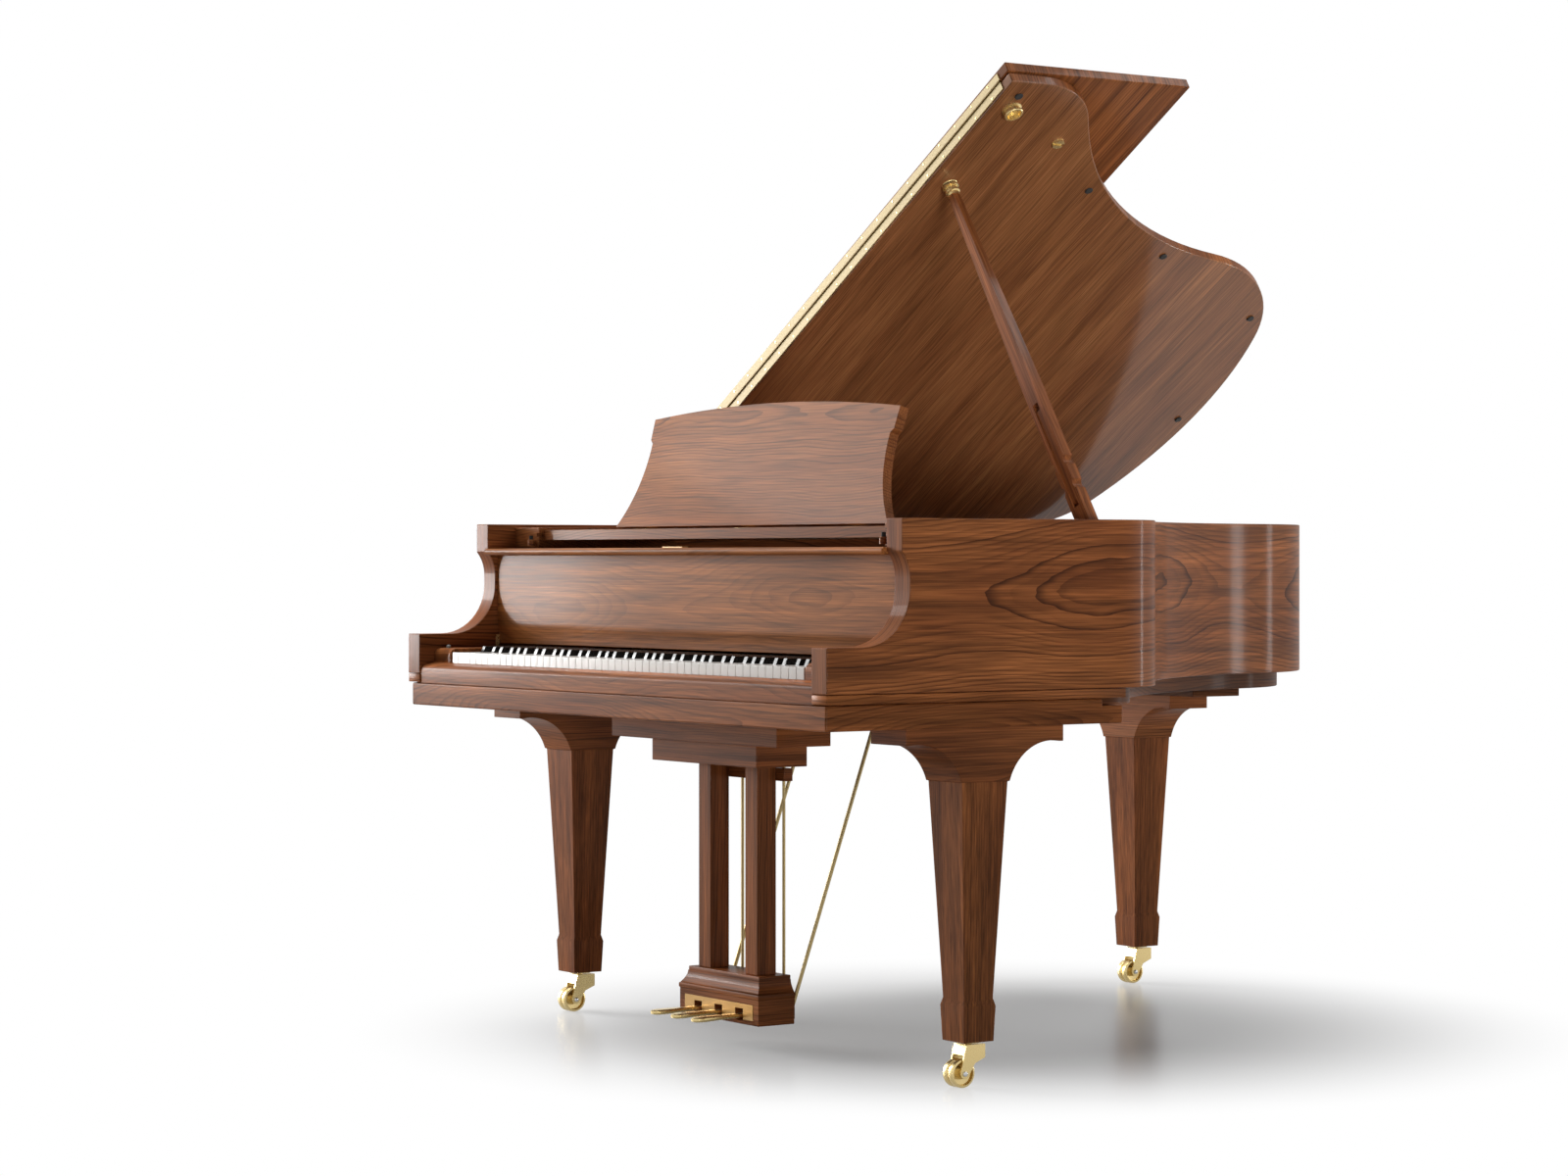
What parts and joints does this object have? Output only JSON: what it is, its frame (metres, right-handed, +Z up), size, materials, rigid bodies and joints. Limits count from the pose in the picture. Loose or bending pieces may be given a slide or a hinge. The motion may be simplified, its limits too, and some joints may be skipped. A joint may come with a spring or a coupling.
{
  "type": "grand piano",
  "caption": "Walnut grand piano with its lid propped open, front flap folded back, music desk raised and keyboard uncovered, on square tapered legs with brass casters and a pedal lyre.",
  "frame": {"origin": "on the floor, under the middle of the part with its lid propped", "axes": "+X towards the treble side, +Y from the keyboard to the tail, +Z up"},
  "size_m": [1.4908, 1.7387, 1.8192],
  "materials": {
    "walnut": "satin",
    "maple": "satin",
    "spruce": "satin",
    "plate_gold": "satin",
    "string_steel": "satin",
    "damper_black": "satin",
    "key_white": "gloss",
    "sharp_black": "satin",
    "rubber": "matte",
    "brass": "polished"
  },
  "bodies": {
    "case": {"outer_rim": "walnut", "inner_rim": "maple", "back_beams": "maple", "soundboard": "spruce", "bridges": "maple", "iron_plate": "plate_gold", "pin_block": "maple", "strings_and_pins": "string_steel", "key_bed": "walnut", "key_slip": "walnut", "cheek_blocks": "walnut", "desk_rails": "walnut", "case_hinges": "brass", "left_leg": "walnut", "right_leg": "walnut", "rear_leg": "walnut", "lyre_blocks": "walnut", "lyre_posts": "walnut", "pedal_box": "walnut", "lyre_braces": "brass"},
    "lid": {"main_lid": "walnut", "lid_hinge_leaves": "brass", "lid_fittings": "brass", "lid_buttons": "rubber"},
    "flap": {"front_lid": "walnut", "flap_hinge_leaf": "brass"},
    "lid_prop": {"lid_prop": "walnut"},
    "short_prop": {"short_prop": "walnut"},
    "fallboard": {"fallboard": "walnut", "fallboard_lock": "brass"},
    "desk_tray": {"desk_tray": "walnut"},
    "music_desk": {"music_desk": "walnut"},
    "desk_strut": {"desk_strut": "walnut"},
    "key_frame": {"key_frame": "maple", "action": "maple"},
    "dampers": {"dampers": "damper_black"},
    "keys_c": {"keys_c": "key_white"},
    "keys_c_sharp": {"keys_c_sharp": "sharp_black"},
    "keys_d": {"keys_d": "key_white"},
    "keys_d_sharp": {"keys_d_sharp": "sharp_black"},
    "keys_e": {"keys_e": "key_white"},
    "keys_f": {"keys_f": "key_white"},
    "keys_f_sharp": {"keys_f_sharp": "sharp_black"},
    "keys_g": {"keys_g": "key_white"},
    "keys_g_sharp": {"keys_g_sharp": "sharp_black"},
    "keys_a": {"keys_a": "key_white"},
    "keys_a_sharp": {"keys_a_sharp": "sharp_black"},
    "keys_b": {"keys_b": "key_white"},
    "left_caster_fork": {"left_caster_fork": "brass"},
    "left_caster_wheels": {"left_caster_wheels": "brass"},
    "right_caster_fork": {"right_caster_fork": "brass"},
    "right_caster_wheels": {"right_caster_wheels": "brass"},
    "rear_caster_fork": {"rear_caster_fork": "brass"},
    "rear_caster_wheels": {"rear_caster_wheels": "brass"},
    "left_pedal": {"left_pedal": "brass"},
    "left_pedal_rod": {"left_pedal_rod": "brass"},
    "middle_pedal": {"middle_pedal": "brass"},
    "middle_pedal_rod": {"middle_pedal_rod": "brass"},
    "right_pedal": {"right_pedal": "brass"},
    "right_pedal_rod": {"right_pedal_rod": "brass"}
  },
  "joints": [
    {"name": "lid_hinge", "type": "hinge", "parent": "case", "child": "lid", "pos_m": [-0.72662, 0.16064, 0.993], "axis": [0, -1, 0], "range_deg": [0, 40]},
    {"name": "flap_hinge", "type": "hinge", "parent": "lid", "child": "flap", "pos_m": [-0.11099, -0.31586, 1.40422], "axis": [0.848, 0, 0.5299], "range_deg": [0, 170]},
    {"name": "lid_prop_hinge", "type": "hinge", "parent": "case", "child": "lid_prop", "pos_m": [0.67738, -0.24436, 0.962], "axis": [0.0475, -0.9989, 0], "range_deg": [0, 58]},
    {"name": "short_prop_hinge", "type": "hinge", "parent": "lid_prop", "child": "short_prop", "pos_m": [0.6389, -0.24619, 1.02518], "axis": [-0.8528, -0.0406, -0.5206], "range_deg": [0, 40]},
    {"name": "fallboard_hinge", "type": "hinge", "parent": "case", "child": "fallboard", "pos_m": [0.01338, -0.67136, 0.764], "axis": [1, 0, 0], "range_deg": [0, 72]},
    {"name": "tray_slide", "type": "slide", "parent": "case", "child": "desk_tray", "axis": [0, -1, 0], "range_m": [0, 0.06]},
    {"name": "desk_hinge", "type": "hinge", "parent": "desk_tray", "child": "music_desk", "pos_m": [0.01338, -0.52936, 0.9773], "axis": [-1, 0, 0], "range_deg": [0, 73.7]},
    {"name": "strut_hinge", "type": "hinge", "parent": "music_desk", "child": "desk_strut", "pos_m": [0.01338, -0.51404, 1.04575], "axis": [1, 0, 0], "range_deg": [0, 114.13]},
    {"name": "keyboard_shift", "type": "slide", "parent": "case", "child": "key_frame", "axis": [1, 0, 0], "range_m": [0, 0.0025]},
    {"name": "keys_c_dip", "type": "hinge", "parent": "key_frame", "child": "keys_c", "pos_m": [0.01338, -0.61936, 0.712], "axis": [1, 0, 0], "range_deg": [0, 2.6], "stiffness_Nm_per_rad": 12, "springref_deg": -3.44},
    {"name": "keys_c_sharp_dip", "type": "hinge", "parent": "key_frame", "child": "keys_c_sharp", "pos_m": [0.01338, -0.61936, 0.712], "axis": [1, 0, 0], "range_deg": [0, 2.6], "stiffness_Nm_per_rad": 12, "springref_deg": -3.44},
    {"name": "keys_d_dip", "type": "hinge", "parent": "key_frame", "child": "keys_d", "pos_m": [0.01338, -0.61936, 0.712], "axis": [1, 0, 0], "range_deg": [0, 2.6], "stiffness_Nm_per_rad": 12, "springref_deg": -3.44},
    {"name": "keys_d_sharp_dip", "type": "hinge", "parent": "key_frame", "child": "keys_d_sharp", "pos_m": [0.01338, -0.61936, 0.712], "axis": [1, 0, 0], "range_deg": [0, 2.6], "stiffness_Nm_per_rad": 12, "springref_deg": -3.44},
    {"name": "keys_e_dip", "type": "hinge", "parent": "key_frame", "child": "keys_e", "pos_m": [0.01338, -0.61936, 0.712], "axis": [1, 0, 0], "range_deg": [0, 2.6], "stiffness_Nm_per_rad": 12, "springref_deg": -3.44},
    {"name": "keys_f_dip", "type": "hinge", "parent": "key_frame", "child": "keys_f", "pos_m": [0.01338, -0.61936, 0.712], "axis": [1, 0, 0], "range_deg": [0, 2.6], "stiffness_Nm_per_rad": 12, "springref_deg": -3.44},
    {"name": "keys_f_sharp_dip", "type": "hinge", "parent": "key_frame", "child": "keys_f_sharp", "pos_m": [0.01338, -0.61936, 0.712], "axis": [1, 0, 0], "range_deg": [0, 2.6], "stiffness_Nm_per_rad": 12, "springref_deg": -3.44},
    {"name": "keys_g_dip", "type": "hinge", "parent": "key_frame", "child": "keys_g", "pos_m": [0.01338, -0.61936, 0.712], "axis": [1, 0, 0], "range_deg": [0, 2.6], "stiffness_Nm_per_rad": 12, "springref_deg": -3.44},
    {"name": "keys_g_sharp_dip", "type": "hinge", "parent": "key_frame", "child": "keys_g_sharp", "pos_m": [0.01338, -0.61936, 0.712], "axis": [1, 0, 0], "range_deg": [0, 2.6], "stiffness_Nm_per_rad": 12, "springref_deg": -3.44},
    {"name": "keys_a_dip", "type": "hinge", "parent": "key_frame", "child": "keys_a", "pos_m": [0.01338, -0.61936, 0.712], "axis": [1, 0, 0], "range_deg": [0, 2.6], "stiffness_Nm_per_rad": 12, "springref_deg": -3.44},
    {"name": "keys_a_sharp_dip", "type": "hinge", "parent": "key_frame", "child": "keys_a_sharp", "pos_m": [0.01338, -0.61936, 0.712], "axis": [1, 0, 0], "range_deg": [0, 2.6], "stiffness_Nm_per_rad": 12, "springref_deg": -3.44},
    {"name": "keys_b_dip", "type": "hinge", "parent": "key_frame", "child": "keys_b", "pos_m": [0.01338, -0.61936, 0.712], "axis": [1, 0, 0], "range_deg": [0, 2.6], "stiffness_Nm_per_rad": 12, "springref_deg": -3.44},
    {"name": "damper_lift", "type": "slide", "parent": "case", "child": "dampers", "axis": [0, 0, 1], "range_m": [0, 0.007]},
    {"name": "left_pedal_press", "type": "hinge", "parent": "case", "child": "left_pedal", "pos_m": [-0.05662, -0.56536, 0.07], "axis": [1, 0, 0], "range_deg": [0, 5], "stiffness_Nm_per_rad": 25, "springref_deg": -5.73},
    {"name": "left_rod_lift", "type": "slide", "parent": "case", "child": "left_pedal_rod", "axis": [0, 0, 1], "range_m": [0, 0.006]},
    {"name": "middle_pedal_press", "type": "hinge", "parent": "case", "child": "middle_pedal", "pos_m": [0.01338, -0.56536, 0.07], "axis": [1, 0, 0], "range_deg": [0, 5], "stiffness_Nm_per_rad": 25, "springref_deg": -5.73},
    {"name": "middle_rod_lift", "type": "slide", "parent": "case", "child": "middle_pedal_rod", "axis": [0, 0, 1], "range_m": [0, 0.006]},
    {"name": "right_pedal_press", "type": "hinge", "parent": "case", "child": "right_pedal", "pos_m": [0.08338, -0.56536, 0.07], "axis": [1, 0, 0], "range_deg": [0, 5], "stiffness_Nm_per_rad": 25, "springref_deg": -5.73},
    {"name": "right_rod_lift", "type": "slide", "parent": "case", "child": "right_pedal_rod", "axis": [0, 0, 1], "range_m": [0, 0.006]},
    {"name": "left_caster_swivel", "type": "hinge", "parent": "case", "child": "left_caster_fork", "pos_m": [-0.64142, -0.51586, 0.08], "axis": [0, 0, 1], "continuous": true},
    {"name": "left_caster_roll", "type": "hinge", "parent": "left_caster_fork", "child": "left_caster_wheels", "pos_m": [-0.64142, -0.53586, 0.025], "axis": [1, 0, 0], "continuous": true},
    {"name": "right_caster_swivel", "type": "hinge", "parent": "case", "child": "right_caster_fork", "pos_m": [0.66818, -0.51586, 0.08], "axis": [0, 0, 1], "continuous": true},
    {"name": "right_caster_roll", "type": "hinge", "parent": "right_caster_fork", "child": "right_caster_wheels", "pos_m": [0.66818, -0.53586, 0.025], "axis": [1, 0, 0], "continuous": true},
    {"name": "rear_caster_swivel", "type": "hinge", "parent": "case", "child": "rear_caster_fork", "pos_m": [-0.39212, 0.74514, 0.08], "axis": [0, 0, 1], "continuous": true},
    {"name": "rear_caster_roll", "type": "hinge", "parent": "rear_caster_fork", "child": "rear_caster_wheels", "pos_m": [-0.39212, 0.72514, 0.025], "axis": [1, 0, 0], "continuous": true}
  ],
  "couplings": [
    {"joint": "strut_hinge", "follows": "desk_hinge", "ratio": 1.5486},
    {"joint": "left_pedal_press", "follows": "keyboard_shift", "rad_per_m": 34.906},
    {"joint": "damper_lift", "follows": "right_pedal_press", "m_per_rad": 0.068705},
    {"joint": "left_rod_lift", "follows": "keyboard_shift", "ratio": 2.0595},
    {"joint": "middle_rod_lift", "follows": "middle_pedal_press", "m_per_rad": 0.059},
    {"joint": "right_rod_lift", "follows": "right_pedal_press", "m_per_rad": 0.059}
  ]
}
